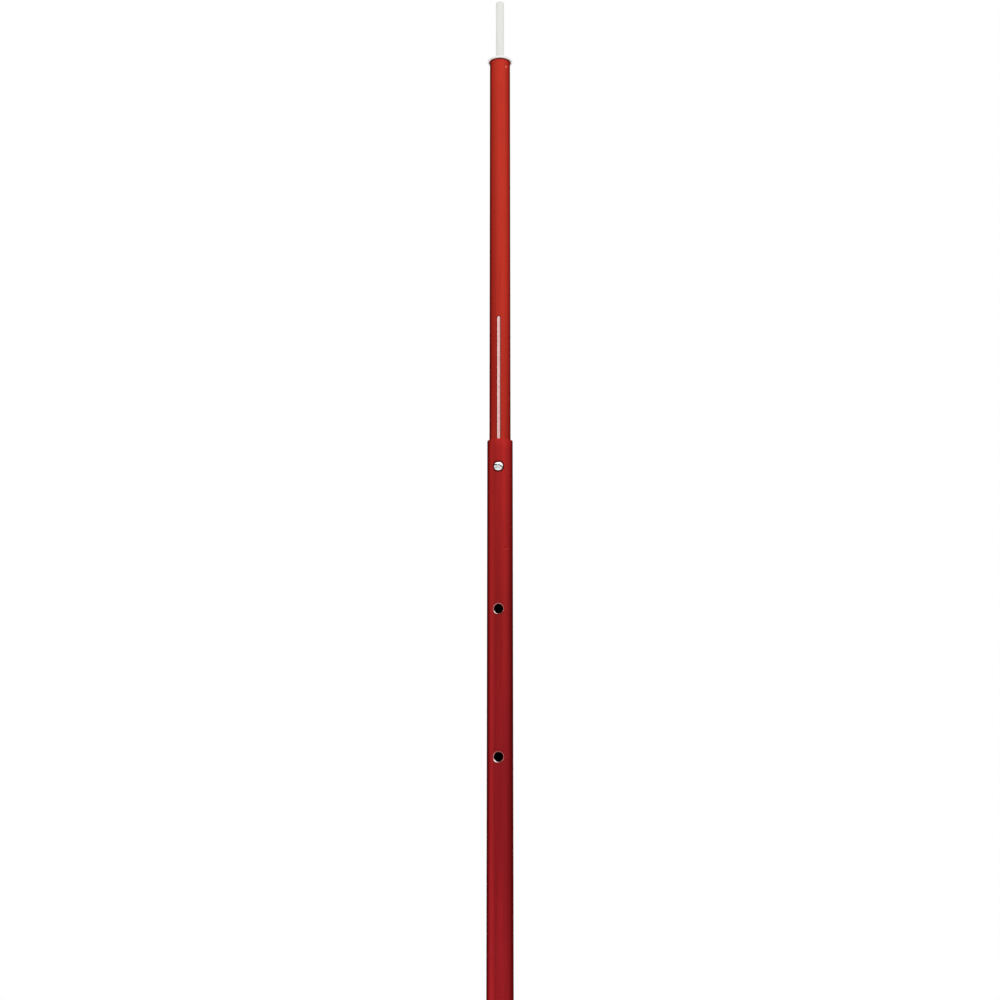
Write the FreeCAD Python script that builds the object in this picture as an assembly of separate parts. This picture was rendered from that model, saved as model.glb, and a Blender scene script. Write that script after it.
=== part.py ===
import FreeCAD, Part
import math
import os

# Telescopic windsock pole: two red aluminium tubes locked by a snap button, with a white
# cap and spindle on top and a socket for a ground stake at the foot.
# Millimetres. Z runs up the pole's axis, z = 0 is the underside of the foot, and the snap
# button and its holes face -Y. The pole is drawn at full height.

Vector = FreeCAD.Vector
UP = Vector(0, 0, 1)
FRONT = Vector(0, -1, 0)

# ---- Driving dimensions ----

# Lower tube
lower_od = 18.0
lower_wall = 1.4
lower_length = 750.0
rim_round = 0.5                 # outer edge of the mouth
mouth_chamfer = 0.3             # inner edge of the mouth
hole_count = 3
hole_pitch = 100.0
first_hole_depth = 20.0         # from the rim down to the first hole's centre
hole_chamfer = 0.6

# Upper tube
slide_clearance = 0.1           # radial, between the two tubes
upper_wall = 1.0
upper_length = 400.0
button_above_end = 89.0         # from the tube's lower end up to the button
upper_end_chamfer = 0.3
groove_width = 2.1
groove_depth = 0.35
groove_tip_above_button = 110.0
groove_foot_above_button = 10.0

# Snap button
button_d = 6.35
button_clearance = 0.125        # radial, in the holes of both tubes
button_proud = 1.5              # beyond the outside of the lower tube
button_dome = 1.6
button_edge_round = 0.3
collar_lip = 0.6                # how far the collar stands out round the button
collar_thickness = 0.6
tenon_d = 3.0
tenon_head_d = 4.2
tenon_head_thickness = 0.5

# Button spring, a strip bent into a V
strip_width = 6.0
strip_thickness = 0.5
strip_corner = 1.0
bend_radius = 2.0               # to the middle of the strip
leg_below_button = 34.0         # from the button down to the start of the bend
leg_above_button = 6.0
free_leg_above_button = 3.0
spring_gap = 0.05               # round the spring, to the button and to the tube

# Top cap and spindle
cap_overhang = 0.2              # of the flange beyond the lower tube, all round
cap_flange = 1.5
cap_flange_round = 0.6
cap_skirt = 25.0
cap_end_wall = 3.0              # below the spindle's bore
spindle_d = 6.0
spindle_height = 48.5           # above the flange
spindle_tip_round = 1.6
spindle_shoulder = 0.5          # radial step down to the shank that is glued in the cap

# Moulded bushes and how they are held
plug_gap = 0.05                 # radial, round anything glued or staked in a tube
bush_clearance = 0.05           # radial, of the inner end bush in the lower tube
inner_bush_flange = 3.0
inner_bush_skirt = 12.0
inner_bush_wall = 2.0
foot_flange = 4.0
foot_flange_round = 0.8
socket_depth = 60.0
socket_wall = 1.4
socket_end_wall = 3.0
socket_lead_in = 0.6
seat_gap = 0.02                 # between a flange and the end of its tube

# Stake dimples, punched through a tube's wall into the plug behind it
dimple_ball = 1.2               # radius of the punch
dimple_depth = 0.4
dimple_count = 3
dimple_angle = 43.5             # from the front towards +X
cap_dimple_below_end = 6.0
foot_dimple_above_end = 12.0

# Shallow dent in the outside of the lower tube
dent_width = 2.4
dent_depth = 0.2
dent_below_rim = 77.8
dent_angle = 35.0               # from the front towards +X

# ---- Sizes that follow ----

lower_id = lower_od - 2 * lower_wall
upper_od = lower_id - 2 * slide_clearance
upper_id = upper_od - 2 * upper_wall
hole_d = button_d + 2 * button_clearance
collar_d = button_d + 2 * collar_lip

lower_z = foot_flange + seat_gap
rim_z = lower_z + lower_length
hole_heights = [rim_z - first_hole_depth - n * hole_pitch for n in range(hole_count)]
button_z = hole_heights[0]
upper_z = button_z - button_above_end
upper_top_z = upper_z + upper_length
flange_z = upper_top_z + seat_gap
flange_top_z = flange_z + cap_flange
cap_foot_z = upper_top_z - cap_skirt
spindle_foot_z = cap_foot_z + cap_end_wall
shank_d = spindle_d - 2 * spindle_shoulder

cap_dimple_z = upper_top_z - cap_dimple_below_end
foot_dimple_z = lower_z + foot_dimple_above_end

# Distances from the axis towards the front
collar_face = math.sqrt((upper_id / 2) ** 2 - (collar_d / 2) ** 2) - spring_gap
strip_face = collar_face - collar_thickness - spring_gap
strip_back = strip_face - strip_thickness


# ---- Shared shapes ----

def rod(radius, z0, z1):
    return Part.makeCylinder(radius, z1 - z0, Vector(0, 0, z0), UP)


def tube(outer_radius, inner_radius, z0, z1):
    return rod(outer_radius, z0, z1).cut(rod(inner_radius, z0 - 1, z1 + 1))


def across(radius, y0, y1, z):
    """A cylinder at height z that runs from y0 to y1 beside the pole's axis."""
    return Part.makeCylinder(radius, abs(y1 - y0), Vector(0, max(y0, y1), z), FRONT)


def circles(shape, radius, z):
    """The circular edges round the axis that have this radius and height."""
    return [
        edge for edge in shape.Edges
        if isinstance(edge.Curve, Part.Circle)
        and abs(edge.Curve.Radius - radius) < 1e-4
        and abs(edge.Curve.Center.z - z) < 1e-4
    ]


def hole_mouths(shape, surface_radius, heights):
    """The edges where the front holes at these heights break the tube's outside."""
    def on_surface(edge):
        ends = edge.ParameterRange
        steps = [ends[0] + (ends[1] - ends[0]) * share for share in (0.0, 0.3, 0.6, 1.0)]
        points = [edge.valueAt(step) for step in steps]
        return all(
            abs(math.hypot(point.x, point.y) - surface_radius) < 1e-3
            and point.y < 0
            and min(abs(point.z - height) for height in heights) < hole_d
            for point in points
        )
    return [edge for edge in shape.Edges if on_surface(edge)]


def dimple_balls(radius, tube_od, z):
    """Balls of this radius on the centres of the punch, all round the tube."""
    reach = tube_od / 2 - dimple_depth + dimple_ball
    balls = []
    for n in range(dimple_count):
        angle = math.radians(dimple_angle + n * 360 / dimple_count)
        centre = Vector(reach * math.sin(angle), -reach * math.cos(angle), z)
        balls.append(Part.makeSphere(radius, centre))
    return balls


def surface_dent(shape, tube_od, z):
    """The tube with one shallow round dent that doesn't reach its inside."""
    ball = ((dent_width / 2) ** 2 + dent_depth ** 2) / (2 * dent_depth)
    reach = tube_od / 2 - dent_depth + ball
    angle = math.radians(dent_angle)
    centre = Vector(reach * math.sin(angle), -reach * math.cos(angle), z)
    return shape.cut(Part.makeSphere(ball, centre))


def staked(shape, tube_od, tube_wall, z):
    """The tube with its dimples: a dent outside, and a bump of the wall's thickness inside."""
    bore = rod(tube_od / 2 - tube_wall / 2, z - tube_wall - 4, z + tube_wall + 4)
    for bump in dimple_balls(dimple_ball + tube_wall, tube_od, z):
        shape = shape.fuse(bump.common(bore))
    for dent in dimple_balls(dimple_ball, tube_od, z):
        shape = shape.cut(dent)
    return shape.removeSplitter()


def dented(shape, tube_od, tube_wall, z):
    """A plug with room for the bumps of the tube that it is staked in."""
    for bump in dimple_balls(dimple_ball + tube_wall + plug_gap, tube_od, z):
        shape = shape.cut(bump)
    return shape


# ---- Lower assembly ----

def lower_tube():
    shape = tube(lower_od / 2, lower_id / 2, lower_z, rim_z)
    shape = shape.makeFillet(rim_round, circles(shape, lower_od / 2, rim_z))
    shape = shape.makeChamfer(mouth_chamfer, circles(shape, lower_id / 2, rim_z))
    for height in hole_heights:
        shape = shape.cut(across(hole_d / 2, 0, -lower_od, height))
    shape = shape.makeChamfer(hole_chamfer, hole_mouths(shape, lower_od / 2, hole_heights))
    shape = surface_dent(shape, lower_od, rim_z - dent_below_rim)
    return staked(shape, lower_od, lower_wall, foot_dimple_z)


def foot_bush():
    skirt_radius = lower_id / 2 - plug_gap
    socket_radius = skirt_radius - socket_wall
    skirt_top = socket_depth + socket_end_wall
    flange = rod(lower_od / 2, 0, foot_flange)
    flange = flange.makeFillet(foot_flange_round, circles(flange, lower_od / 2, 0))
    skirt = rod(skirt_radius, 0, skirt_top)
    skirt = skirt.makeChamfer(socket_wall / 2, circles(skirt, skirt_radius, skirt_top))
    shape = flange.fuse(skirt).cut(rod(socket_radius, -1, socket_depth))
    shape = shape.makeChamfer(socket_lead_in, circles(shape, socket_radius, 0))
    return dented(shape, lower_od, lower_wall, foot_dimple_z)


# ---- Upper assembly ----

def guide_groove():
    """The cutter of the groove: a round-ended bar whose surface dips into the tube's front."""
    half_width = groove_width / 2
    cutter = (half_width ** 2 + groove_depth ** 2) / (2 * groove_depth)
    y = -(upper_od / 2 - groove_depth + cutter)
    low = button_z + groove_foot_above_button + half_width
    high = button_z + groove_tip_above_button - half_width
    bar = Part.makeCylinder(cutter, high - low, Vector(0, y, low), UP)
    for end in (low, high):
        bar = bar.fuse(Part.makeSphere(cutter, Vector(0, y, end)))
    return bar


def upper_tube():
    shape = tube(upper_od / 2, upper_id / 2, upper_z, upper_top_z)
    ends = circles(shape, upper_od / 2, upper_z) + circles(shape, upper_od / 2, upper_top_z)
    shape = shape.makeChamfer(upper_end_chamfer, ends)
    shape = shape.cut(across(hole_d / 2, 0, -upper_od, button_z))
    shape = shape.cut(guide_groove())
    return staked(shape, upper_od, upper_wall, cap_dimple_z)


def inner_end_bush():
    skirt_radius = upper_id / 2 - plug_gap
    flange_radius = lower_id / 2 - bush_clearance
    flange_top = upper_z - seat_gap
    flange = rod(flange_radius, flange_top - inner_bush_flange, flange_top)
    flange = flange.makeFillet(
        inner_bush_flange / 4,
        circles(flange, flange_radius, flange_top - inner_bush_flange),
    )
    skirt = rod(skirt_radius, flange_top - inner_bush_flange, upper_z + inner_bush_skirt)
    skirt = skirt.makeChamfer(
        inner_bush_wall / 4, circles(skirt, skirt_radius, upper_z + inner_bush_skirt)
    )
    bore = rod(
        skirt_radius - inner_bush_wall,
        flange_top - inner_bush_flange - 1,
        upper_z + inner_bush_skirt + 1,
    )
    return flange.fuse(skirt).cut(bore)


def top_cap():
    flange_radius = lower_od / 2 + cap_overhang
    skirt_radius = upper_id / 2 - plug_gap
    flange = rod(flange_radius, flange_z, flange_top_z)
    edges = circles(flange, flange_radius, flange_z)
    edges += circles(flange, flange_radius, flange_top_z)
    flange = flange.makeFillet(cap_flange_round, edges)
    skirt = rod(skirt_radius, cap_foot_z, flange_top_z)
    skirt = skirt.makeChamfer(cap_end_wall / 3, circles(skirt, skirt_radius, cap_foot_z))
    bore = rod(shank_d / 2 + plug_gap, spindle_foot_z, flange_top_z + 1)
    return dented(flange.fuse(skirt).cut(bore), upper_od, upper_wall, cap_dimple_z)


def spindle_rod():
    tip_z = flange_top_z + spindle_height
    shape = rod(spindle_d / 2, flange_top_z + seat_gap, tip_z)
    shape = shape.makeFillet(spindle_tip_round, circles(shape, spindle_d / 2, tip_z))
    return shape.fuse(rod(shank_d / 2, spindle_foot_z + seat_gap, flange_top_z + spindle_d))


def button_spring():
    """The strip's outline in the YZ plane, drawn out across the pole's width.

    The button leg runs straight down the front, the bend turns it back, and the free leg
    leans over until its end presses on the back of the tube.
    """
    half = strip_thickness / 2
    leg_y = -(strip_face + strip_back) / 2
    bend_z = button_z - leg_below_button
    centre = Vector(0, leg_y + bend_radius, bend_z)
    wall_y = math.sqrt((upper_id / 2) ** 2 - (strip_width / 2) ** 2)
    tip_y = wall_y - half - spring_gap
    tip_z = button_z + free_leg_above_button

    # The free leg's middle line passes the bend's centre at the bend's radius.
    across_y, up_z = tip_y - centre.y, tip_z - centre.z
    lean = math.atan2(across_y, up_z) - math.asin(bend_radius / math.hypot(across_y, up_z))
    along = Vector(0, math.sin(lean), math.cos(lean))
    out = Vector(0, math.cos(lean), -math.sin(lean))
    free_leg = math.sqrt(across_y ** 2 + up_z ** 2 - bend_radius ** 2)
    bottom = Vector(0, math.sin(lean / 2), -math.cos(lean / 2))

    def side(radius):
        """One face of the strip, from the button leg's end to the free leg's end."""
        start = centre + Vector(0, -radius, button_z + leg_above_button - bend_z)
        first = centre + Vector(0, -radius, 0)
        last = centre + out * radius
        bend = Part.Arc(first, centre + bottom * radius, last).toShape()
        end = last + along * free_leg
        return [Part.makeLine(start, first), bend, Part.makeLine(last, end)], start, end

    outer, outer_start, outer_end = side(bend_radius + half)
    inner, inner_start, inner_end = side(bend_radius - half)
    ends = [Part.makeLine(outer_start, inner_start), Part.makeLine(outer_end, inner_end)]
    outline = Part.Wire(Part.__sortEdges__(outer + inner + ends))
    shape = Part.Face(outline).extrude(Vector(strip_width, 0, 0))
    shape.translate(Vector(-strip_width / 2, 0, 0))
    corners = [edge for edge in shape.Edges if abs(edge.Length - strip_thickness) < 1e-3]
    shape = shape.makeFillet(strip_corner, corners)
    tenon_hole = across(tenon_d / 2 + spring_gap, 0, -upper_od, button_z)
    return shape.cut(tenon_hole)


# ---- Snap button ----

def snap_button():
    tip = lower_od / 2 + button_proud
    radius = button_d / 2
    dome_radius = (radius ** 2 + button_dome ** 2) / (2 * button_dome)
    body = across(radius, -collar_face + collar_thickness, -tip, button_z)
    ball = Part.makeSphere(dome_radius, Vector(0, dome_radius - tip, button_z))
    stem = across(radius, 0, -(tip - button_dome), button_z)
    dome = ball.fuse(stem)
    body = body.common(dome)
    brow = [
        edge for edge in body.Edges
        if isinstance(edge.Curve, Part.Circle)
        and abs(edge.Curve.Center.y + tip - button_dome) < 1e-3
    ]
    body = body.makeFillet(button_edge_round, brow)
    collar_back = collar_face - collar_thickness
    collar = across(collar_d / 2, -collar_back, -collar_face, button_z)
    head_face = strip_back - spring_gap
    tenon = across(tenon_d / 2, -head_face, -collar_face, button_z)
    head = across(tenon_head_d / 2, -head_face + tenon_head_thickness, -head_face, button_z)
    return body.fuse(collar).fuse(tenon).fuse(head).removeSplitter()


# ---- Build ----

PIECES = [
    lower_tube,
    foot_bush,
    upper_tube,
    inner_end_bush,
    top_cap,
    spindle_rod,
    button_spring,
    snap_button,
]


def build():
    os.makedirs("parts", exist_ok=True)
    for piece in PIECES:
        shape = piece()
        solids = shape.Solids
        if len(solids) != 1 or not shape.isValid():
            raise RuntimeError(f"{piece.__name__} is not one valid solid")
        solids[0].exportStep(f"parts/{piece.__name__}.step")
        print(f"{piece.__name__}: {solids[0].Volume:.1f} mm3")


build()
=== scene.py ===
import math

import bmesh
import bpy
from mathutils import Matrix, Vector


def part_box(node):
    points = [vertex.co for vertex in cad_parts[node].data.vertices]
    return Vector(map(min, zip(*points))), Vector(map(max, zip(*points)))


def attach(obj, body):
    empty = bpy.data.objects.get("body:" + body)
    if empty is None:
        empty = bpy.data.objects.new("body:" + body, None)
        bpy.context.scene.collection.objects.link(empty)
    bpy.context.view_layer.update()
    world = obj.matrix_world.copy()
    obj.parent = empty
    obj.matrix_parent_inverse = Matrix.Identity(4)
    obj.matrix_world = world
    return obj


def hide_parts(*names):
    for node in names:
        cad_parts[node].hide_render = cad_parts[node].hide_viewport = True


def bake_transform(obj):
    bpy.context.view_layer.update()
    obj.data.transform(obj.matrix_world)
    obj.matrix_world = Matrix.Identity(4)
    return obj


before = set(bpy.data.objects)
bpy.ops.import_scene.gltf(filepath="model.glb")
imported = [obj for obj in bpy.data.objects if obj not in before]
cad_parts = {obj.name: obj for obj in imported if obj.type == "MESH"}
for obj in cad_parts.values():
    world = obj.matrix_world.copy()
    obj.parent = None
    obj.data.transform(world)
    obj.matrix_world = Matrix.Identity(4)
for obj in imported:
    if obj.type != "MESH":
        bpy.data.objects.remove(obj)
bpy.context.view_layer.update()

# Telescopic windsock pole. Shapes are worked out in millimetres, with z up the pole's axis and
# the snap button and its holes facing -Y, and become metres when their mesh is made.

MM = 0.001
MICRON = 0.000001
SHARP = math.radians(32)        # edges sharper than this aren't shaded smooth


def box(node):
    """A CAD node's lowest and highest corners."""
    low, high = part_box(node)
    return low / MM, high / MM


# ---- Camera ----

FOCAL = 52.2                    # for a 36 mm sensor
AZIMUTH = math.radians(7.3)     # towards +X
TILT = math.radians(11.7)       # upwards
DISTANCE = 0.9951               # level, from the pole's axis, in metres
HEIGHT = 0.5055                 # above the underside of the foot
CLIP_START = 0.01
CLIP_END = 100

camera = bpy.data.objects.new("camera", bpy.data.cameras.new("camera"))
bpy.context.scene.collection.objects.link(camera)
camera.data.lens = FOCAL
camera.data.clip_start = CLIP_START
camera.data.clip_end = CLIP_END
camera.location = (DISTANCE * math.sin(AZIMUTH), -DISTANCE * math.cos(AZIMUTH), HEIGHT)
camera.rotation_euler = (math.pi / 2 + TILT, 0, AZIMUTH)
bpy.context.scene.camera = camera
bpy.context.scene.view_settings.view_transform = "Standard"

# ---- Sizes, from the frame and as in the CAD model ----

lower_low, lower_high = box("lower_tube")
upper_low, upper_high = box("upper_tube")
cap_low, cap_high = box("top_cap")
spindle_low, spindle_high = box("spindle_rod")
button_low, button_high = box("snap_button")
foot_low, foot_high = box("foot_bush")
strip_low, strip_high = box("button_spring")

BUTTON_Z = (button_low.z + button_high.z) / 2
RIM_Z = lower_high.z
LOWER_R = lower_high.x
UPPER_R = upper_high.x
LOWER_WALL = 1.4
UPPER_WALL = 1.0
LOWER_BORE_R = LOWER_R - LOWER_WALL
UPPER_BORE_R = UPPER_R - UPPER_WALL
PLUG_GAP = 0.05                 # round a plug in a tube
SEAT_GAP = 0.02                 # under what is seated on a face

HOLE_R = 3.3
HOLE_PITCH = 100.0
HOLE_COUNT = 3
HOLE_CHAMFER = 0.6
RIM_ROUND = 0.5
MOUTH_CHAMFER = 0.3
END_CHAMFER = 0.3

DIMPLE_R = 0.9
DIMPLE_DEPTH = 0.4
DIMPLE_ANGLES = (43.5, 163.5, 283.5)
CAP_DIMPLE_Z = upper_high.z - 6
FOOT_DIMPLE_Z = lower_low.z + 12
DENT_R = 1.2
DENT_DEPTH = 0.2
DENT_ANGLE = 35.0
DENT_Z = RIM_Z - 77.8

GROOVE_DEPTH = 0.35
GROOVE_CUTTER = 1.75            # radius
GROOVE_LOW = BUTTON_Z + 11.05   # of its straight part
GROOVE_HIGH = BUTTON_Z + 108.95
STRIP_THICKNESS = 0.5           # of the spring
TENON_HOLE_R = 1.55             # in the spring
SPRING_GAP = 0.05               # between the spring and the wall it leans on

# The grid of a tube's wall: how many columns it has, how tall its plain cells may be, and how
# many cells there are across each window that is left in it for a feature.
COLUMNS = 128
TALLEST_CELL = 12
HOLE_CELLS = 24
DENT_CELLS = 10
DIMPLE_CELLS = 8
GROOVE_CELLS = 12
GROOVE_END_CELLS = 6
STRIP_CELLS = 6                 # across the spring, and up the tenon's hole in it
CLOSE = 1e-4                    # heights nearer than this are the same

# The finishes of a tube's faces, in the order of its materials.
DYED, BRIGHT, BORE_SHADE, DIMPLE_HIGHLIGHT, TINTED, EDGE_SHADE, SHADED_BARE = range(7)


# ---- Mesh building ----

class Skin:
    """The vertices and faces of one piece, with the number of each face's material.

    A strip's finish is that number, or a function that gives it for the strip's nth face.
    """

    def __init__(self):
        self.verts = []
        self.faces = []
        self.finishes = []

    def point(self, x, y, z):
        self.verts.append((x, y, z))
        return len(self.verts) - 1

    def face(self, corners, finish=0):
        """A face, less corners that fall together."""
        corners = list(dict.fromkeys(corners))
        if len(corners) > 2:
            self.faces.append(corners)
            self.finishes.append(finish)

    def strip(self, first, second, finish=0, closed=True):
        """Faces between two rows of points; a row of one point is a pole."""
        count = max(len(first), len(second))
        for n in range(count if closed else count - 1):
            a, b = n % len(first), (n + 1) % len(first)
            c, d = (n + 1) % len(second), n % len(second)
            chosen = finish(n) if callable(finish) else finish
            self.face([first[a], first[b], second[c], second[d]], chosen)

    def strips(self, rows, finish=0):
        """A closed strip from each row of points to the next. Gives the last row."""
        for first, second in zip(rows, rows[1:]):
            self.strip(first, second, finish)
        return rows[-1]

    def lathe(self, profile, along="z", z=0.0, segments=COLUMNS):
        """Turns (radius, height) points round the pole's axis, or (radius, y) points round a
        level line at height z that runs front to back. A third number in a point is the
        finish of the band after it."""
        rings = []
        for radius, height, *_ in profile:
            ring = []
            for n in range(segments if radius > 0 else 1):
                angle = 2 * math.pi * n / segments
                side = radius * math.sin(angle)
                other = radius * math.cos(angle)
                if along == "z":
                    ring.append(self.point(side, -other, height))
                else:
                    ring.append(self.point(side, height, z + other))
            rings.append(ring)
        for n, (_, _, *finish) in enumerate(profile[:-1]):
            self.strip(rings[n], rings[n + 1], *finish)
        return rings

    def make(self, name, body, slot, materials, node, bends=None):
        """Makes the piece, in place of a CAD node, and attaches it to its body. A piece given
        bends is left unattached, in world space; what bends holds is not used."""
        mesh = bpy.data.meshes.new(name)
        mesh.from_pydata([Vector(v) * MM for v in self.verts], [], self.faces)
        for material in materials:
            mesh.materials.append(material)
        mesh.polygons.foreach_set("material_index", self.finishes)
        work = bmesh.new()
        work.from_mesh(mesh)
        bmesh.ops.recalc_face_normals(work, faces=work.faces)
        work.to_mesh(mesh)
        work.free()
        mesh.shade_smooth()
        mesh.set_sharp_from_angle(angle=SHARP)
        piece = bpy.data.objects.new(name, mesh)
        bpy.context.scene.collection.objects.link(piece)
        if bends:
            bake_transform(piece)
        else:
            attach(piece, body)
        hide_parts(node)


def arc(centre_r, centre_z, radius, start, end, steps=8):
    """Profile points on an arc. Its angles are in degrees: 0 is outwards, and 90 is up."""
    points = []
    for n in range(steps + 1):
        angle = math.radians(start + (end - start) * n / steps)
        points.append((centre_r + radius * math.cos(angle), centre_z + radius * math.sin(angle)))
    return points


def between(place, target, share):
    """What is this share of the way from one place to another."""
    return tuple(a + (b - a) * share for a, b in zip(place, target))


# A window in a wall is (angle of its middle, columns across, low, high), and a zone of its grid
# is (low, high, cells).

def square_window(angle, z, cells, cell):
    """A window of this many cells each way."""
    reach = cells / 2 * cell
    return angle, cells, z - reach, z + reach


def zones_of(windows):
    return [(low, high, cells) for _, cells, low, high in windows]


def levels(low, high, zones):
    """Heights from low to high, with each zone evenly divided."""
    heights = [low]

    def fill(top, cells):
        start = heights[-1]
        heights.extend(start + (top - start) * (n + 1) / cells for n in range(cells))

    def fill_plainly(top):
        if top > heights[-1] + CLOSE:
            fill(top, math.ceil((top - heights[-1]) / TALLEST_CELL))

    for zone_low, zone_high, cells in sorted(zones):
        fill_plainly(zone_low)
        fill(zone_high, cells)
    fill_plainly(high)
    return heights


class Wall:
    """A tube's outer or inner wall on a grid of columns and heights, less its windows.

    A place on it is (length round the wall from the front, height).
    """

    def __init__(self, skin, radius, heights, windows, finish):
        self.skin = skin
        self.radius = radius
        self.heights = heights
        self.grid = {}
        spans = [self.span(window) for window in windows]
        for row in range(len(heights)):
            for column in range(COLUMNS):
                if not any(self.inside(column, row, span) for span in spans):
                    angle = 2 * math.pi * column / COLUMNS
                    self.grid[column, row] = skin.point(
                        radius * math.sin(angle), -radius * math.cos(angle), heights[row]
                    )
        for row in range(len(heights) - 1):
            for column in range(COLUMNS):
                if not any(self.covers(column, row, span) for span in spans):
                    after = (column + 1) % COLUMNS
                    skin.face([
                        self.grid[column, row], self.grid[after, row],
                        self.grid[after, row + 1], self.grid[column, row + 1],
                    ], finish)

    def span(self, window):
        """A window's (first column, columns across, first row, rows up)."""
        angle, columns, low, high = window
        first = round(angle * COLUMNS / 360) - columns // 2
        rows = [n for n, z in enumerate(self.heights) if low - CLOSE < z < high + CLOSE]
        return first, columns, rows[0], rows[-1] - rows[0]

    @staticmethod
    def inside(column, row, span):
        """Whether a point of the grid is inside a window, and not on its border."""
        first, across, low, up = span
        return 0 < (column - first) % COLUMNS < across and low < row < low + up

    @staticmethod
    def covers(column, row, span):
        """Whether a window takes the place of a cell."""
        first, across, low, up = span
        return (column - first) % COLUMNS < across and low <= row < low + up

    def ring(self, row):
        """A whole row of points, counted from the top if it is negative."""
        row %= len(self.heights)
        return [self.grid[column, row] for column in range(COLUMNS)]

    def border(self, window):
        """A window's border, as points and as places."""
        first, across, low, up = self.span(window)
        steps = [(n, 0) for n in range(across)] + [(across, n) for n in range(up)]
        steps += [(across - n, up) for n in range(across)] + [(0, up - n) for n in range(up)]
        points, places = [], []
        for column, row in steps:
            points.append(self.grid[(first + column) % COLUMNS, low + row])
            round_wall = 2 * math.pi * self.radius * (first + column) / COLUMNS
            places.append((round_wall, self.heights[low + row]))
        return points, places

    def on(self, round_wall, z, sink=0.0):
        """A new point at a place, sunk towards the axis."""
        angle = round_wall / self.radius
        reach = self.radius - sink
        return self.skin.point(reach * math.sin(angle), -reach * math.cos(angle), z)

    def lead(self, places, targets, shares):
        """Rings of new points on the wall, at these shares of the way between two rings."""
        return [
            [self.on(*between(a, b, share)) for a, b in zip(places, targets)]
            for share in shares
        ]


def dimple(wall, window, angle, z, radius, depth, finish):
    """Fills a window with a round dimple, whose hollow has this finish."""
    points, places = wall.border(window)
    centre = (math.radians(angle) * wall.radius, z)
    edge = []
    for place in places:
        turn = math.atan2(place[1] - centre[1], place[0] - centre[0])
        edge.append((
            centre[0] + radius * math.cos(turn), centre[1] + radius * math.sin(turn)
        ))
    last = wall.skin.strips([points, *wall.lead(places, edge, (0.5, 1.0))], DYED)
    hollow = []
    for reach in (0.9, 0.75, 0.55, 0.35, 0.15):
        sink = depth * (1 - reach ** 2) ** 1.3
        hollow.append([wall.on(*between(centre, place, reach), sink) for place in edge])
    hollow.append([wall.on(*centre, depth)])
    wall.skin.strips([last, *hollow], finish)


def hole(outer, inner, window, z, chamfer=0.0, lit_lower_left=False):
    """Fills a window in both walls with a round hole at the front, chamfered or sharp. On the
    lower holes the chamfer is bare aluminium, with a painted highlight at its lower left and
    painted shade, a darker red copy of it, round the rest."""
    skin = outer.skin
    # The turns round a lower hole's mouth that get the painted highlight.
    lit_turns = (-2.65, -1.75)      # from and to, in radians from the right
    points, places = outer.border(window)
    turns = [math.atan2(place[1] - z, place[0]) for place in places]

    def edge(wall_r, turn):
        """Where the hole's own cylinder meets a wall of this radius."""
        x = HOLE_R * math.cos(turn)
        return x, -math.sqrt(wall_r ** 2 - x ** 2), z + HOLE_R * math.sin(turn)

    def mouth_finish(n):
        # The mouth of the hole the button sits in is painted shade.
        if not lit_lower_left:
            return EDGE_SHADE
        # Painted highlight at the lower left, painted shade round the rest.
        return BRIGHT if lit_turns[0] < turns[n] < lit_turns[1] else SHADED_BARE

    mouth = []
    for turn in turns:
        x, _, height = edge(outer.radius, turn)
        mouth.append((
            outer.radius * math.asin(x / outer.radius) + chamfer * math.cos(turn),
            height + chamfer * math.sin(turn),
        ))
    rings = outer.lead(places, mouth, (0.3, 0.6, 0.85, 1.0))
    last = skin.strips([points, *rings[:-1]], DYED)
    # A dark line of painted shade round a chamfered hole's edge.
    last = skin.strips([last, rings[-1]], EDGE_SHADE if chamfer else DYED)

    if chamfer:
        throat = []
        for turn in turns:
            x, y, height = edge(outer.radius, turn)
            throat.append(skin.point(x, y + chamfer, height))
        last = skin.strips([last, throat], mouth_finish)

    rings = []
    for share in (0.5, 1.0):
        ring = []
        for turn in turns:
            x, y, height = edge(outer.radius, turn)
            start_y = y + chamfer
            end_y = edge(inner.radius, turn)[1]
            ring.append(skin.point(x, start_y + (end_y - start_y) * share, height))
        rings.append(ring)
    exits = []
    for turn in turns:
        x, _, height = edge(inner.radius, turn)
        exits.append((inner.radius * math.asin(x / inner.radius), height))
    points, places = inner.border(window)
    # The hole's wall is painted shade, as the bore is.
    skin.strips([last, *rings, *inner.lead(exits, places, (0.5,)), points], BORE_SHADE)


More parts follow.
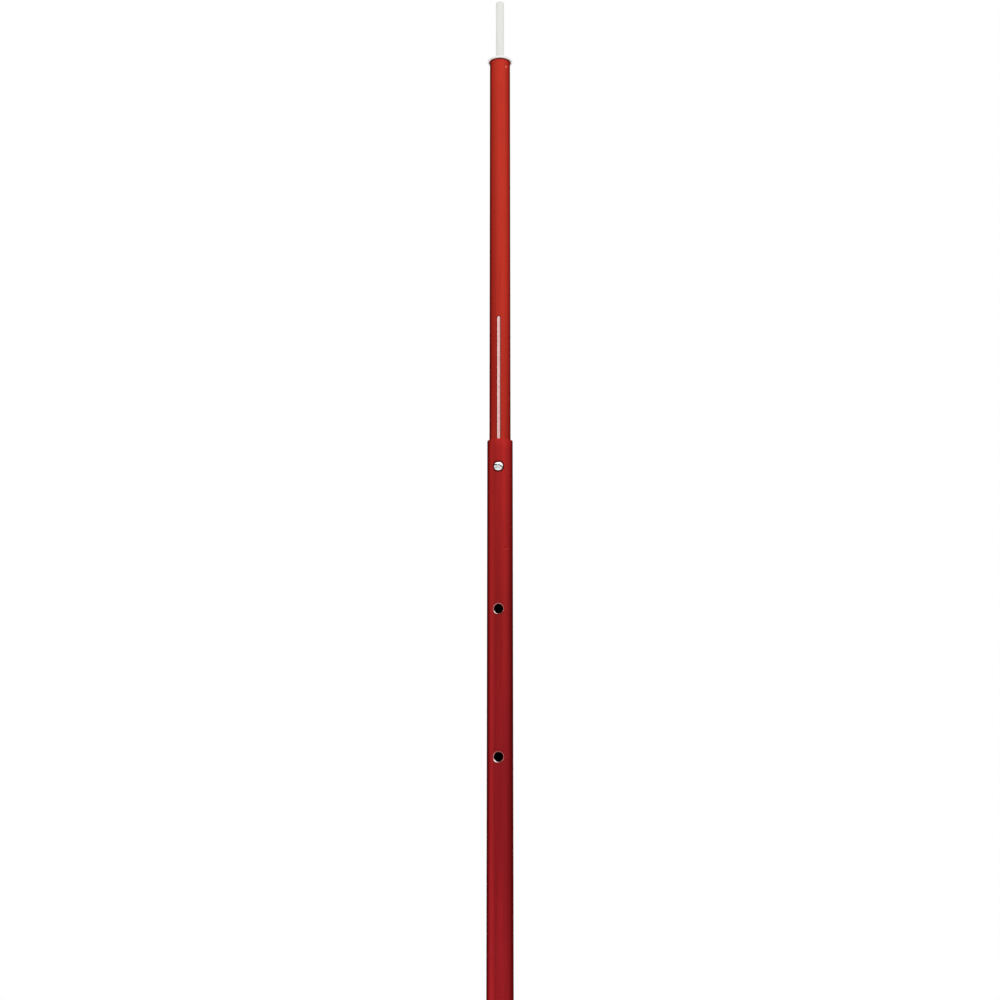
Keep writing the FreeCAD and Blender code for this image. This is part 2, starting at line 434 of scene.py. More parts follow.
def groove(wall, window):
    """Fills a window with the round-ended guide groove down the front."""
    skin = wall.skin
    columns = window[1]
    points, places = wall.border(window)
    cutter_y = wall.radius - GROOVE_DEPTH + GROOVE_CUTTER
    # Where the cutter's circle crosses the wall's, and how far the groove runs past each end
    # of its straight part.
    shared = (cutter_y ** 2 + wall.radius ** 2 - GROOVE_CUTTER ** 2) / (2 * cutter_y)
    half_width = wall.radius * math.acos(shared / wall.radius)
    overrun = math.sqrt(GROOVE_CUTTER ** 2 - (cutter_y - wall.radius) ** 2)

    def spine(z):
        return min(max(z, GROOVE_LOW), GROOVE_HIGH)

    edge = []
    for round_wall, z in places:
        if z == spine(z):
            edge.append((math.copysign(half_width, round_wall), z))
        else:
            turn = math.atan2(z - spine(z), round_wall)
            edge.append((half_width * math.cos(turn), spine(z) + overrun * math.sin(turn)))

    def metal(n):
        """A painted highlight at the upper end, in the bright bare aluminium, and the tinted
        copy below.
        """
        return BRIGHT if min(edge[n][1], edge[n - 1][1]) > GROOVE_HIGH else TINTED

    rings = wall.lead(places, edge, (0.3, 0.6, 1.0))
    last = skin.strips([points, *rings[:-1]], DYED)
    # A dark line of painted shade along the groove's edge.
    last = skin.strips([last, rings[-1]], EDGE_SHADE)
    hollow = []
    for reach in (0.8, 0.55, 0.28):
        ring = []
        for round_wall, z in edge:
            x = wall.radius * math.sin(round_wall * reach / wall.radius)
            rise = (z - spine(z)) * reach
            y = math.sqrt(GROOVE_CUTTER ** 2 - x ** 2 - rise ** 2) - cutter_y
            ring.append(skin.point(x, y, spine(z) + rise))
        hollow.append(ring)
    # The groove's walls get the bright bare aluminium as a painted highlight.
    skin.strips([last, hollow[0]], BRIGHT)
    last = skin.strips(hollow, metal)
    # The bottom is one row of faces from side to side.
    count = len(last)
    for n in range(columns // 2, columns // 2 + count // 2):
        across = [last[(columns - m) % count] for m in (n + 1, n)]
        skin.face([last[n], last[(n + 1) % count], *across], metal(n))


# ---- Materials ----

class Nodes:
    """A node tree, and short calls that add nodes to it. Most give the new node's output."""

    def __init__(self, tree, coordinates):
        self.tree = tree
        self.place = self.add("ShaderNodeTexCoord").outputs[coordinates]

    def add(self, kind, **settings):
        """A new node."""
        node = self.tree.nodes.new(kind)
        for name, value in settings.items():
            setattr(node, name, value)
        return node

    def link(self, source, target):
        self.tree.links.new(source, target)

    def set(self, socket, value):
        """Gives an input a constant or another node's output."""
        if isinstance(value, bpy.types.NodeSocket):
            self.link(value, socket)
        else:
            socket.default_value = value

    def math(self, operation, *values):
        node = self.add("ShaderNodeMath", operation=operation)
        for socket, value in zip(node.inputs, values):
            self.set(socket, value)
        return node.outputs[0]

    def plus(self, first, second):
        return self.math("ADD", first, second)

    def minus(self, first, second):
        return self.math("SUBTRACT", first, second)

    def times(self, first, second):
        return self.math("MULTIPLY", first, second)

    def axes(self):
        """The X, Y and Z of the coordinates."""
        split = self.add("ShaderNodeSeparateXYZ")
        self.link(self.place, split.inputs[0])
        return split.outputs

    def ramp(self, value, span, result=(0.0, 1.0)):
        """Goes smoothly from result[0] to result[1] as the value crosses the span."""
        node = self.add("ShaderNodeMapRange", interpolation_type="SMOOTHSTEP")
        for socket, number in zip(node.inputs, (value, *span, *result)):
            self.set(socket, number)
        return node.outputs["Result"]


class Surface(Nodes):
    """A material. Constants for its Principled shader's sockets are given by name."""

    def __init__(self, name, **constants):
        self.material = bpy.data.materials.new(name)
        self.material.use_nodes = True
        super().__init__(self.material.node_tree, "Object")
        self.shader = self.tree.nodes["Principled BSDF"]
        for socket, value in constants.items():
            self.shader.inputs[socket.replace("_", " ")].default_value = value

    def noise(self, scale, detail=2, rough=0.5, along=1):
        """Noise with so many lumps per metre, and along times as many up the pole."""
        mapping = self.add("ShaderNodeMapping")
        self.link(self.place, mapping.inputs["Vector"])
        mapping.inputs["Scale"].default_value = (1, 1, along)
        node = self.add("ShaderNodeTexNoise")
        self.link(mapping.outputs[0], node.inputs["Vector"])
        node.inputs["Scale"].default_value = scale
        node.inputs["Detail"].default_value = detail
        node.inputs["Roughness"].default_value = rough
        return node.outputs["Fac"]

    def weighted(self, first, weight, second, other_weight):
        """The weighted sum of two outputs."""
        return self.math("MULTIPLY_ADD", first, weight, self.times(second, other_weight))

    def mix(self, share, first, second):
        """A mix of two colours, each a tuple or an output."""
        node = self.add("ShaderNodeMix", data_type="RGBA")
        inputs = [s for s in node.inputs if s.enabled]
        for socket, value in zip(inputs, (share, first, second)):
            self.set(socket, (*value, 1) if isinstance(value, tuple) else value)
        return next(s for s in node.outputs if s.enabled)

    def bump(self, value, microns):
        """Raises the surface by up to this much."""
        node = self.add("ShaderNodeBump")
        node.inputs["Distance"].default_value = microns * MICRON
        self.link(value, node.inputs["Height"])
        self.link(node.outputs[0], self.shader.inputs["Normal"])

    def paint(self, color, roughness=None):
        """The finished material."""
        self.set(self.shader.inputs["Base Color"], color)
        if roughness is not None:
            self.set(self.shader.inputs["Roughness"], roughness)
        return self.material


def anodised(name, dark, light, top_dark, top_light, low_z, high_z):
    """Dyed, anodised drawn tube: fine lines and wider streaks along it, cloudy patches, and a
    colour that gets warmer from low_z up to high_z, and on the lower tube lighter too."""
    s = Surface(
        name, Metallic=1.0, Specular_Tint=(0.17, 0.04, 0.038, 1), Coat_Weight=0.1,
        Coat_Roughness=0.25
    )
    lines = s.noise(2600, detail=3, rough=0.6, along=0.004)
    streaks = s.noise(190, along=0.02)
    cloud = s.noise(60, detail=4, rough=0.6, along=0.35)
    tone = s.weighted(cloud, 0.25, s.weighted(lines, 0.35, streaks, 0.65), 0.75)
    tone = s.ramp(tone, (0.36, 0.64))
    rise = s.ramp(s.axes()["Z"], (low_z * MM, high_z * MM))
    color = s.mix(rise, s.mix(tone, dark, light), s.mix(tone, top_dark, top_light))
    s.bump(lines, microns=4)
    return s.paint(color, s.ramp(lines, (0.3, 0.7), (0.24, 0.36)))


def painted_dimple_highlight():
    """A dimple's hollow: paler red as a painted highlight, broken up by fine cracks."""
    s = Surface("painted_dimple_highlight", Metallic=1.0)
    cracks = s.noise(3800, detail=4, rough=0.7)
    color = s.mix(s.ramp(cracks, (0.4, 0.62)), (0.60, 0.06, 0.04), (0.85, 0.30, 0.22))
    s.bump(cracks, microns=10)
    return s.paint(color, s.ramp(cracks, (0.3, 0.7), (0.3, 0.5)))


def painted_edge_shade():
    """Painted shade: a dark line beside a cut edge, and the darkened chamfer of the hole the
    button sits in.
    """
    s = Surface("painted_edge_shade", Metallic=1.0)
    blots = s.noise(700, detail=3, rough=0.6)
    color = s.mix(s.ramp(blots, (0.35, 0.65)), (0.09, 0.003, 0.003), (0.22, 0.008, 0.008))
    return s.paint(color, s.ramp(blots, (0.3, 0.7), (0.28, 0.4)))


def bare_aluminium(name, light, dull):
    """Cut aluminium, or aluminium that shows through what is left of its dye."""
    s = Surface(name, Metallic=1.0)
    lines = s.noise(4200, rough=0.6, along=0.05)
    dulled = s.noise(900, detail=3, rough=0.6)
    s.bump(lines, microns=5)
    return s.paint(
        s.mix(s.ramp(dulled, (0.35, 0.7)), light, dull), s.ramp(lines, (0.3, 0.7), (0.22, 0.38))
    )


def painted_bore_shade():
    """Painted shade for the inside of a drawn tube and the walls of its holes: near-black and
    dull.
    """
    s = Surface("painted_bore_shade", Metallic=0.3, Specular_IOR_Level=0.1, Roughness=0.8)
    mottle = s.noise(500, detail=3, rough=0.6, along=0.05)
    return s.paint(s.mix(mottle, (0.006, 0.004, 0.004), (0.02, 0.009, 0.008)))


def plastic(name, grain, flow, dark, light, microns, roughness):
    """Moulded plastic, with a fine grain and slow clouds from its flow. Both are given as
    what noise() takes."""
    s = Surface(name, Specular_IOR_Level=0.45)
    grain = s.noise(*grain)
    flow = s.noise(*flow)
    s.bump(grain, microns)
    return s.paint(
        s.mix(s.ramp(flow, (0.3, 0.7)), dark, light), s.ramp(grain, (0.3, 0.7), roughness)
    )


def glass_fibre():
    """Ground rod of glass fibre, with its fibres just showing."""
    s = Surface("white_glass_fibre_rod", Specular_IOR_Level=0.5)
    fibres = s.noise(5200, detail=3, rough=0.65, along=0.008)
    haze = s.noise(260, along=0.2)
    tone = s.weighted(fibres, 0.7, haze, 0.3)
    color = s.mix(s.ramp(tone, (0.35, 0.65)), (0.77, 0.78, 0.74), (0.84, 0.84, 0.80))
    s.bump(fibres, microns=8)
    return s.paint(color, s.ramp(fibres, (0.3, 0.7), (0.32, 0.5)))


def painted_flange_shade():
    """Painted shade for the flange's underside next to the tube: a broken line from near-black
    to dark red.
    """
    s = Surface("painted_flange_shade", Specular_IOR_Level=0.2)
    shade_breakup = s.noise(420)
    color = s.mix(s.ramp(shade_breakup, (0.42, 0.62)), (0.012, 0.003, 0.002), (0.16, 0.03, 0.024))
    return s.paint(color, s.ramp(shade_breakup, (0.3, 0.7), (0.6, 0.8)))


def spring_steel():
    """Rolled strip with the faint colours of its temper."""
    s = Surface("spring_steel", Metallic=1.0)
    lines = s.noise(5200, rough=0.6, along=0.03)
    temper = s.noise(180, detail=3)
    color = s.mix(s.ramp(temper, (0.3, 0.7)), (0.40, 0.41, 0.43), (0.58, 0.57, 0.54))
    s.bump(lines, microns=4)
    return s.paint(color, s.ramp(lines, (0.3, 0.7), (0.22, 0.36)))


def nickel():
    """Polished nickel, with two painted reflections across the dome: dark bands where it would
    mirror a dark horizon.
    """
    s = Surface("bright_nickel_steel", Metallic=1.0)
    haze = s.noise(700, detail=3, rough=0.6)
    wander = s.math("MULTIPLY_ADD", s.noise(520), 0.9, -0.45)
    axes = s.axes()
    # Millimetres to the right of the button's middle, and above it.
    side = s.times(axes["X"], 1 / MM)
    rise = s.times(s.minus(axes["Z"], BUTTON_Z * MM), 1 / MM)
    rise = s.plus(rise, wander)

    def reflected_band(line, middle, half_width, strength):
        """A soft-edged painted dark band along where the line's value is middle."""
        away = s.math("ABSOLUTE", s.minus(line, middle))
        return s.ramp(away, (half_width * 0.7, half_width), (strength, 0.0))

    right = s.math("MAXIMUM", side, 0.0)
    hooked = s.math("MULTIPLY_ADD", s.times(right, right), 0.25, rise)
    sloping = s.math("MULTIPLY_ADD", side, 0.1, rise)
    reflected_bands = s.math(
        "MAXIMUM", reflected_band(hooked, middle=0.85, half_width=0.55, strength=1.0),
        reflected_band(sloping, middle=-1.6, half_width=0.36, strength=0.7)
    )
    # The painted reflections are palest in a patch just left of the middle.
    patch = s.ramp(s.math("ABSOLUTE", s.plus(side, 0.3)), (0.4, 0.9), (1.0, 0.0))
    dark = s.mix(patch, (0.006, 0.007, 0.007), (0.30, 0.42, 0.38))
    plain_nickel = s.mix(s.ramp(haze, (0.35, 0.7)), (0.99, 0.99, 0.98), (0.94, 0.95, 0.94))
    s.bump(haze, microns=10)
    return s.paint(s.mix(reflected_bands, plain_nickel, dark), s.ramp(haze, (0.3, 0.7), (0.08, 0.16)))


LOWER_RED = anodised(
    "red_anodised_lower", dark=(0.36, 0.013, 0.017), light=(0.49, 0.018, 0.025),
    top_dark=(0.41, 0.016, 0.016), top_light=(0.50, 0.023, 0.019), low_z=RIM_Z - 260,
    high_z=RIM_Z
)
UPPER_RED = anodised(
    "red_anodised_upper", dark=(0.42, 0.020, 0.013), light=(0.50, 0.030, 0.016),
    top_dark=(0.42, 0.024, 0.014), top_light=(0.50, 0.035, 0.017), low_z=RIM_Z,
    high_z=upper_high.z
)
WHITE = plastic(
    "white_moulded_plastic", (5200, 3, 0.6), (120, 3), (0.88, 0.88, 0.86),
    (0.93, 0.93, 0.91), microns=8, roughness=(0.3, 0.42)
)
BLACK = plastic(
    "black_moulded_plastic", (3800, 4, 0.65), (150, 3), (0.018, 0.018, 0.019),
    (0.035, 0.035, 0.037), microns=20, roughness=(0.38, 0.55)
)
ROD = glass_fibre()
PAINTED_FLANGE_SHADE = painted_flange_shade()
SPRING = spring_steel()
NICKEL = nickel()
# Cut metal, with the painted shade and painted highlights given to some faces of the tubes.
CUT_AND_PAINTED_FINISHES = [
    bare_aluminium("bare_aluminium", (0.99, 0.88, 0.86), (0.95, 0.78, 0.76)),
    painted_bore_shade(),
    painted_dimple_highlight(),
    bare_aluminium("dye_tinted_aluminium", (0.97, 0.60, 0.57), (0.85, 0.42, 0.40)),
    painted_edge_shade(),
    # Painted shade: a darker, redder copy of the bare aluminium.
    bare_aluminium("painted_shade_bare_aluminium", (0.70, 0.22, 0.22), (0.42, 0.06, 0.06)),
]


# ---- Pieces ----

def lower_tube():
    skin = Skin()
    cell = 2 * math.pi * LOWER_R / COLUMNS
    hole_heights = [BUTTON_Z - n * HOLE_PITCH for n in range(HOLE_COUNT)]
    holes = [square_window(0, z, HOLE_CELLS, cell) for z in hole_heights]
    dimples = [square_window(a, FOOT_DIMPLE_Z, DIMPLE_CELLS, cell) for a in DIMPLE_ANGLES]
    dent = square_window(DENT_ANGLE, DENT_Z, DENT_CELLS, cell)
    wall_top = RIM_Z - RIM_ROUND
    outer = Wall(
        skin, LOWER_R, levels(lower_low.z, wall_top, zones_of([*holes, dent, dimples[0]])),
        [*holes, *dimples, dent], DYED
    )
    # The bore is painted shade.
    inner = Wall(
        skin, LOWER_BORE_R, levels(lower_low.z, RIM_Z - MOUTH_CHAMFER, zones_of(holes)), holes,
        BORE_SHADE
    )
    for window, z in zip(holes, hole_heights):
        hole(outer, inner, window, z, HOLE_CHAMFER, lit_lower_left=z < BUTTON_Z)
    for window, angle in zip(dimples, DIMPLE_ANGLES):
        # The dimples' hollows have the painted highlight.
        dimple(outer, window, angle, FOOT_DIMPLE_Z, DIMPLE_R, DIMPLE_DEPTH, DIMPLE_HIGHLIGHT)
    dimple(outer, dent, DENT_ANGLE, DENT_Z, DENT_R, DENT_DEPTH, DYED)
    rim = arc(LOWER_R - RIM_ROUND, wall_top, RIM_ROUND, 0, 90, steps=6)[1:]
    rings = skin.lathe([*rim, (LOWER_BORE_R + MOUTH_CHAMFER, RIM_Z)])
    skin.strip(outer.ring(-1), rings[0], DYED)
    skin.strip(rings[-1], inner.ring(-1), TINTED)
    skin.strip(outer.ring(0), inner.ring(0), BRIGHT)
    skin.make(
        "pole_lower_tube", "lower_assembly", "red_anodised_aluminium", [LOWER_RED, *CUT_AND_PAINTED_FINISHES],
        "lower_tube"
    )


def upper_tube():
    skin = Skin()
    cell = 2 * math.pi * UPPER_R / COLUMNS
    button_hole = square_window(0, BUTTON_Z, HOLE_CELLS, cell)
    dimples = [square_window(a, CAP_DIMPLE_Z, DIMPLE_CELLS, cell) for a in DIMPLE_ANGLES]
    past = GROOVE_END_CELLS * cell
    slot = (0, GROOVE_CELLS, GROOVE_LOW - past, GROOVE_HIGH + past)
    outer_zones = zones_of([button_hole, dimples[0]])
    outer_zones += [
        (GROOVE_LOW - past, GROOVE_LOW, GROOVE_END_CELLS),
        (GROOVE_LOW, GROOVE_HIGH, GROOVE_CELLS),
        (GROOVE_HIGH, GROOVE_HIGH + past, GROOVE_END_CELLS),
    ]
    outer = Wall(
        skin, UPPER_R,
        levels(upper_low.z + END_CHAMFER, upper_high.z - END_CHAMFER, outer_zones),
        [button_hole, slot, *dimples], DYED
    )
    # The bore is painted shade.
    inner = Wall(
        skin, UPPER_BORE_R, levels(upper_low.z, upper_high.z, zones_of([button_hole])),
        [button_hole], BORE_SHADE
    )
    hole(outer, inner, button_hole, BUTTON_Z)
    groove(outer, slot)
    for window, angle in zip(dimples, DIMPLE_ANGLES):
        # The dimples' hollows have the painted highlight.
        dimple(outer, window, angle, CAP_DIMPLE_Z, DIMPLE_R, DIMPLE_DEPTH, DIMPLE_HIGHLIGHT)
    for row, z in ((-1, upper_high.z), (0, upper_low.z)):
        end = skin.lathe([(UPPER_R - END_CHAMFER, z)])[0]
        skin.strips([outer.ring(row), end, inner.ring(row)], BRIGHT)
    skin.make(
        "pole_upper_tube", "upper_assembly", "red_anodised_aluminium", [UPPER_RED, *CUT_AND_PAINTED_FINISHES],
        "upper_tube"
    )


def top_cap():
    skin = Skin()
    plain, underside_shade = 0, 1
    radius = cap_high.x
    rounding = 0.6
    flange_z = upper_high.z + SEAT_GAP
    skirt_r = UPPER_BORE_R - PLUG_GAP
    lead = 1.0
    underside_shade_r = UPPER_R + 0.55
    bore_r = 2.55
    bore_z = cap_low.z + 3.0
    corner = radius - rounding
    # The flange's underside, from the skirt out to just past the tube's outside, is painted
    # shade.
    skin.lathe([
        (0, cap_low.z), (skirt_r - lead, cap_low.z), (skirt_r, cap_low.z + lead),
        (skirt_r, flange_z, underside_shade), (underside_shade_r, flange_z, plain),
        *arc(corner, flange_z + rounding, rounding, -90, 0),
        *arc(corner, cap_high.z - rounding, rounding, 0, 90),
        (bore_r, cap_high.z), (bore_r, bore_z), (0, bore_z),
    ])
    skin.make(
        "pole_top_cap", "upper_assembly", "white_moulded_plastic", [WHITE, PAINTED_FLANGE_SHADE],
        "top_cap"
    )


def spindle():
    skin = Skin()
    radius = spindle_high.x
    tip_round = 1.6
    shank_r = 2.5
    seat = cap_high.z + SEAT_GAP
    skin.lathe([
        (0, spindle_low.z), (shank_r, spindle_low.z), (shank_r, seat), (radius, seat),
        *arc(radius - tip_round, spindle_high.z - tip_round, tip_round, 0, 90, steps=12),
        (0, spindle_high.z),
    ], segments=96)
    skin.make("spindle", "upper_assembly", "white_glass_fibre_rod", [ROD], "spindle_rod")


def button():
    """The button, with its collar, and the tenon that is riveted over behind its spring."""
    skin = Skin()
    tip = button_low.y
    radius, dome = 3.175, 1.6
    collar_r, collar_face, collar_back = 3.775, -5.2416, -4.6416
    tenon_r, head_r, head_face, head_back = 1.5, 2.1, -4.0416, button_high.y
    ball_r = (radius ** 2 + dome ** 2) / (2 * dome)
    # The dome stops short of the side by the first inset, and the others round it off there.
    inset, next_inset = 0.165, 0.04
    next_back, side_back = 0.13, 0.3
    steps = 14
    widest = math.asin((radius - inset) / ball_r)
    profile = [(0, tip)]
    for n in range(1, steps + 1):
        turn = widest * n / steps
        profile.append((ball_r * math.sin(turn), tip + ball_r * (1 - math.cos(turn))))
    dome_back = profile[-1][1]
    skin.lathe([
        *profile, (radius - next_inset, dome_back + next_back), (radius, dome_back + side_back),
        (radius, collar_face), (collar_r, collar_face), (collar_r, collar_back),
        (tenon_r, collar_back), (tenon_r, head_face), (head_r, head_face),
        (head_r, head_back), (0, head_back),
    ], "y", BUTTON_Z, segments=96)
    skin.make("snap_button_dome", "button", "bright_nickel_steel", [NICKEL], "snap_button")


def foot():
    skin = Skin()
    radius = foot_high.x
    flange_top = 4.0
    rounding = 0.8
    skirt_r = LOWER_BORE_R - PLUG_GAP
    socket_r = skirt_r - 1.4
    socket_top = 60.0
    socket_lead = 0.6
    chamfer = 0.7
    top = foot_high.z
    skin.lathe([
        (0, top), (skirt_r - chamfer, top), (skirt_r, top - chamfer), (skirt_r, flange_top),
        (radius, flange_top), *arc(radius - rounding, rounding, rounding, 0, -90),
        (socket_r + socket_lead, 0), (socket_r, socket_lead), (socket_r, socket_top),
        (0, socket_top),
    ])
    skin.make(
        "pole_foot_bush", "lower_assembly", "black_moulded_plastic", [BLACK], "foot_bush"
    )


def metal_strip(stations, hole_row=None):
    """A strip along (y, z, normal's y, normal's z, half width) stations. It has a round hole
    for the button's tenon in the rows of cells from hole_row, if that is given."""
    skin = Skin()
    holed = hole_row is not None
    hole_top = hole_row + STRIP_CELLS if holed else None

    def tenon_hole(rows):
        """Fills the opening in a face of the strip up to a round hole. Gives the hole's edge."""
        border = [rows[hole_row][c] for c in range(STRIP_CELLS)]
        border += [rows[n][STRIP_CELLS] for n in range(hole_row, hole_top)]
        border += [rows[hole_top][STRIP_CELLS - c] for c in range(STRIP_CELLS)]
        border += [rows[hole_top - n][0] for n in range(STRIP_CELLS)]
        rings = []
        for share in (0.5, 1.0):
            ring = []
            for corner in border:
                x, y, z = skin.verts[corner]
                turn = math.atan2(z - BUTTON_Z, x)
                target = (
                    TENON_HOLE_R * math.cos(turn), BUTTON_Z + TENON_HOLE_R * math.sin(turn)
                )
                x, z = between((x, z), target, share)
                ring.append(skin.point(x, y, z))
            rings.append(ring)
        return skin.strips([border, *rings])

    faces, edges = [], []
    for side in (STRIP_THICKNESS / 2, -STRIP_THICKNESS / 2):
        rows = []
        for n, (y, z, normal_y, normal_z, reach) in enumerate(stations):
            row = {}
            for column in range(STRIP_CELLS + 1):
                across = reach * (2 * column / STRIP_CELLS - 1)
                inside = holed and hole_row < n < hole_top and 0 < column < STRIP_CELLS
                if not inside:
                    row[column] = skin.point(across, y + side * normal_y, z + side * normal_z)
            rows.append(row)
        for n in range(len(rows) - 1):
            if not (holed and hole_row <= n < hole_top):
                first, second = list(rows[n].values()), list(rows[n + 1].values())
                skin.strip(first, second, closed=False)
        faces.append(rows)
        if holed:
            edges.append(tenon_hole(rows))
    outer, inner = faces
    for column in (0, STRIP_CELLS):
        skin.strip([row[column] for row in outer], [row[column] for row in inner], closed=False)
    for end in (0, -1):
        skin.strip(list(outer[end].values()), list(inner[end].values()), closed=False)
    if holed:
        skin.strip(*edges)
    return skin


def spring():
    """The strip bent into a V, in two pieces. The button leg is left in world space; the bend
    and the free leg, which leans on the back of the tube, go with the upper assembly."""
    half = STRIP_THICKNESS / 2
    reach = strip_high.x            # half the strip's width
    corner = 1.0                    # radius of the corners at its ends
    bend_r = 2.0
    leg_y = strip_low.y + half
    bend_z = BUTTON_Z - 34          # where the button leg ends
    hole_z = BUTTON_Z - 3           # where the cells round the tenon's hole start
    joint_gap = 0.02                # between the two pieces
    back_y = math.sqrt(UPPER_BORE_R ** 2 - reach ** 2)
    centre = Vector((leg_y + bend_r, bend_z))
    tip_z = BUTTON_Z + 3            # of the free leg
    tip = Vector((back_y - half - SPRING_GAP, tip_z))
    reached = tip - centre
    lean = math.atan2(reached.x, reached.y) - math.asin(bend_r / reached.length)
    free_leg = math.sqrt(reached.length_squared - bend_r ** 2)
    ends = [(math.sin(a), corner * (1 - math.cos(a))) for a in (0, 0.5, 1.0, math.pi / 2)]
    steps = 16

    leg_heights = [bend_z + joint_gap + (hole_z - bend_z) * n / steps for n in range(steps)]
    leg_heights += [hole_z + n for n in range(STRIP_CELLS + 2)]
    leg = [(leg_y, z, -1, 0, reach) for z in leg_heights]
    for rise, narrowing in ends:
        leg.append((leg_y, strip_high.z - corner + rise, -1, 0, reach - narrowing))

    bend = []
    for n in range(steps + 1):
        turn = math.pi + (math.pi - lean) * n / steps
        out = Vector((math.cos(turn), math.sin(turn)))
        bend.append((*(centre + out * bend_r), *out, reach))
    along = Vector((math.sin(lean), math.cos(lean)))
    leg_foot = centre + out * bend_r
    for n in range(1, steps):
        bend.append((*(leg_foot + along * (free_leg - corner) * n / steps), *out, reach))
    for rise, narrowing in ends:
        place = leg_foot + along * (free_leg - corner + rise)
        bend.append((*place, *out, reach - narrowing))

    metal_strip(leg, hole_row=steps).make(
        "button_spring_leg", "upper_assembly", "spring_steel", [SPRING], "button_spring",
        bends=("button", (0, leg_y, bend_z + 1), (0, leg_y, hole_z))
    )
    metal_strip(bend).make(
        "button_spring_bend", "upper_assembly", "spring_steel", [SPRING], "button_spring"
    )


lower_tube()
upper_tube()
top_cap()
spindle()
button()
spring()
foot()
for bush_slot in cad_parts["inner_end_bush"].material_slots:
    bush_slot.material = BLACK


# ---- Floor and light ----

def floor():
    """A pale round floor that turns into the white background towards its edge. In metres."""
    radius = 1.1
    drop = 0.0002                   # below the foot
    rings, segments = 24, 96
    verts, faces = [(0, 0, 0)], []
    for ring in range(1, rings + 1):
        for segment in range(segments):
            angle = 2 * math.pi * segment / segments
            reach = radius * ring / rings
            verts.append((reach * math.cos(angle), reach * math.sin(angle), 0))
    for segment in range(segments):
        after = (segment + 1) % segments
        faces.append((0, 1 + segment, 1 + after))
        for ring in range(rings - 1):
            a, b = 1 + ring * segments, 1 + (ring + 1) * segments
            faces.append((a + segment, b + segment, b + after, a + after))
    mesh = bpy.data.meshes.new("floor")
    mesh.from_pydata(verts, [], faces)

    s = Surface("floor", Roughness=0.6, Specular_IOR_Level=0.2)
    s.paint(s.mix(s.noise(40, detail=4), (0.86, 0.86, 0.86), (0.89, 0.89, 0.89)))
    distance = s.add("ShaderNodeVectorMath", operation="LENGTH")
    s.link(s.place, distance.inputs[0])
    white = s.add("ShaderNodeEmission")
    blend = s.add("ShaderNodeMixShader")
    s.link(s.ramp(distance.outputs["Value"], (0.3, 1.0)), blend.inputs[0])
    s.link(s.shader.outputs[0], blend.inputs[1])
    s.link(white.outputs[0], blend.inputs[2])
    s.link(blend.outputs[0], s.tree.nodes["Material Output"].inputs["Surface"])
    mesh.materials.append(s.material)
    piece = bpy.data.objects.new("floor", mesh)
    piece.location.z = -drop
    bpy.context.scene.collection.objects.link(piece)


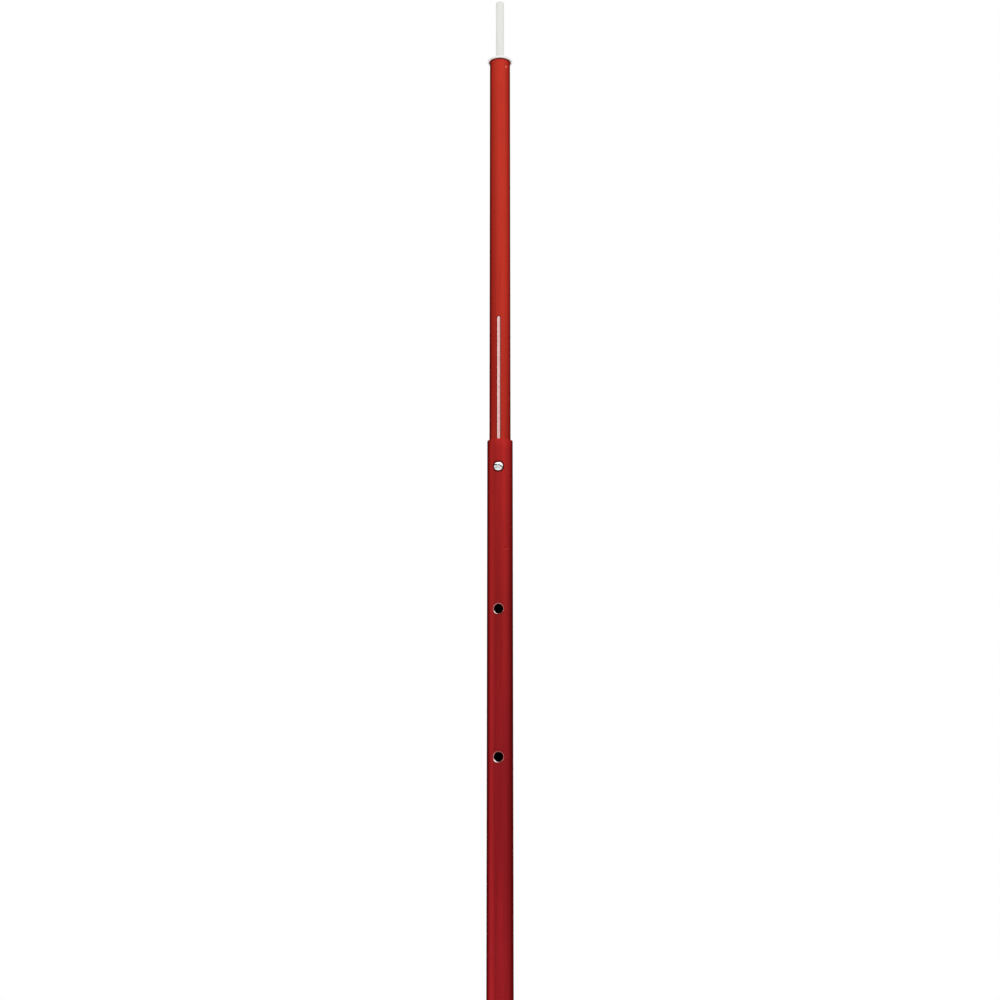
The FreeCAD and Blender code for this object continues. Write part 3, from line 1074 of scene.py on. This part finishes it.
def surroundings():
    """A tent that is white where the camera sees it. Its light is bright from about 20 degrees
    up, and dim below that and behind the pole, but bright again down where the floor is."""
    world = bpy.data.worlds.new("tent")
    world.use_nodes = True
    bpy.context.scene.world = world
    w = Nodes(world.node_tree, "Generated")
    x, y, up = w.axes()
    # Level directions: ahead is towards the camera, and right is the camera's right.
    ahead = w.plus(w.times(x, math.sin(AZIMUTH)), w.times(y, -math.cos(AZIMUTH)))
    right = w.plus(w.times(x, math.cos(AZIMUTH)), w.times(y, math.sin(AZIMUTH)))

    # Low down it is dim, but less so at the far left and in a band on the right.
    dim = 0.38
    far_left = w.times(
        w.ramp(right, (-0.7, -0.93), (0.0, 0.42)), w.ramp(up, (0.16, 0.3), (1.0, 0.0))
    )
    right_band = w.times(
        w.ramp(right, (0.1, 0.5), (0.0, 0.18)), w.ramp(right, (0.7, 0.95), (1.0, 0.0))
    )
    low = w.plus(dim, w.plus(far_left, right_band))
    # Higher up it is bright, but less so towards the left and at the far right.
    high = w.math(
        "MINIMUM", w.ramp(right, (-1.0, -0.2), (0.80, 1.12)),
        w.ramp(right, (0.5, 1.0), (1.2, 0.95))
    )
    rise = w.ramp(up, (0.05, 0.36))
    front = w.plus(w.times(high, rise), w.times(low, w.minus(1.0, rise)))
    # On the left, a darker band with a brighter one over it.
    on_left = w.ramp(right, (-0.3, -0.7))
    shade = w.times(w.ramp(up, (0.215, 0.29), (0.0, 0.2)), w.ramp(up, (0.33, 0.48), (1.0, 0.0)))
    lift = w.times(w.ramp(up, (0.36, 0.46), (0.0, 0.2)), w.ramp(right, (-0.2, -0.7)))
    front = w.plus(w.minus(front, w.times(shade, on_left)), lift)
    # Behind the pole.
    behind = w.ramp(ahead, (-0.15, -0.75))
    back = w.ramp(up, (-0.1, 0.4), (0.32, 0.5))
    light = w.plus(front, w.times(behind, w.minus(back, front)))
    # Narrow dark flags behind the pole, which give its edges in the front view their lines.
    left_flag = w.times(
        w.ramp(ahead, (-0.15, -0.55), (0.0, 0.55)), w.ramp(right, (-0.1, -0.5))
    )
    right_flag = w.times(w.ramp(ahead, (0.1, -0.35), (0.0, 0.5)), w.ramp(right, (0.1, 0.5)))
    right_flag = w.times(right_flag, w.ramp(up, (0.16, 0.26), (1.0, 0.0)))
    flags = w.plus(left_flag, right_flag)
    flags = w.times(flags, w.ramp(ahead, (-0.82, -0.97), (1.0, 0.0)))
    light = w.times(light, w.minus(1.0, flags))
    # Towards the floor.
    light = w.plus(light, w.times(w.ramp(up, (-0.14, -0.26)), w.minus(1.0, light)))
    seen = w.add("ShaderNodeLightPath").outputs["Is Camera Ray"]
    background = w.tree.nodes["Background"]
    background.inputs["Color"].default_value = (1, 1, 1, 1)
    w.link(w.math("MAXIMUM", light, seen), background.inputs["Strength"])


def softbox(name, place, target, size, power):
    lamp = bpy.data.lights.new(name, "AREA")
    lamp.shape = "RECTANGLE"
    lamp.size, lamp.size_y = size
    lamp.energy = power
    holder = bpy.data.objects.new(name, lamp)
    bpy.context.scene.collection.objects.link(holder)
    holder.location = place
    aim = Vector(target) - Vector(place)
    holder.rotation_euler = aim.to_track_quat("-Z", "Y").to_euler()


floor()
surroundings()
softbox("key", place=(0.6, -1.2, 3.2), target=(0, 0, 0.6), size=(2.4, 2.4), power=12)
